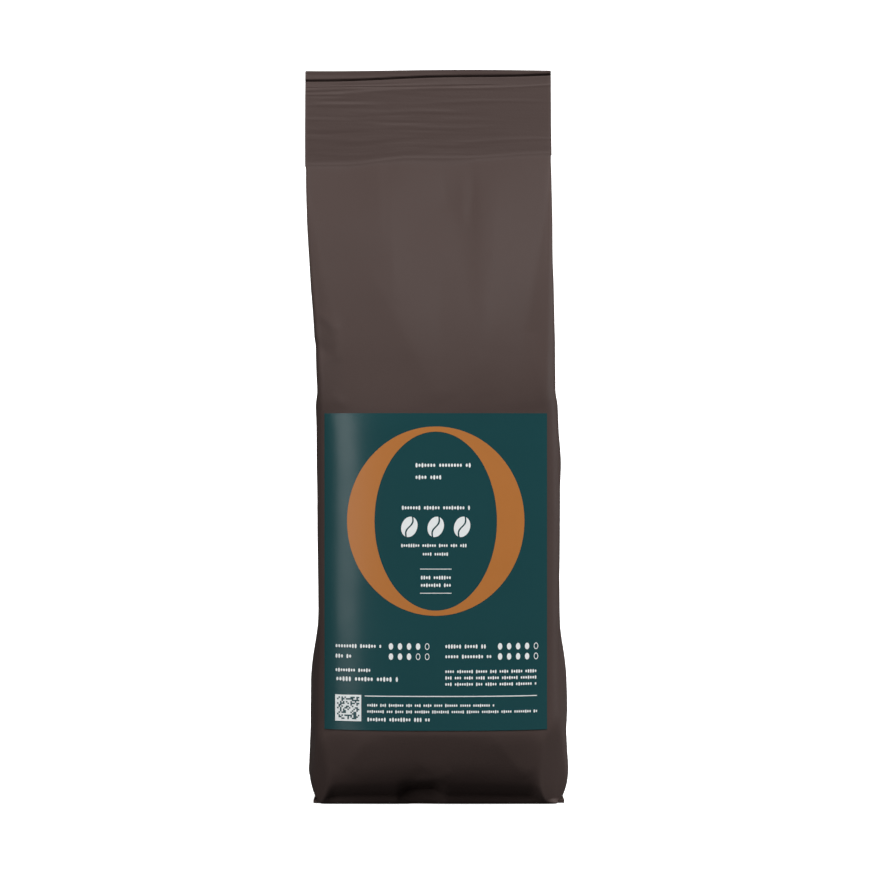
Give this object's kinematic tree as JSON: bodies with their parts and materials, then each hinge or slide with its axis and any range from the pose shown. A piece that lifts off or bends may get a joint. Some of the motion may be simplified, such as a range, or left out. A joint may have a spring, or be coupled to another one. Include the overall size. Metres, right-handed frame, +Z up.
{
  "type": "coffee bag",
  "caption": "Filled side-gusset coffee bag of dark matt film, heat sealed flat across the top, standing on its base, with a stuck-on front label.",
  "frame": {"origin": "middle of the bag's outer box in X and Y, at the surface it stands on", "axes": "+Z up along the bag's height to the seal band, front panel and label face -Y, +X to the right seen from the front"},
  "size_m": [0.0856, 0.0653, 0.237],
  "materials": {
    "film": "matt dark brown laminate film with a soft sheen",
    "label": "satin deep teal label stock with orange and white print"
  },
  "bodies": {
    "root": {"bag": "film", "label": "label"}
  },
  "joints": []
}
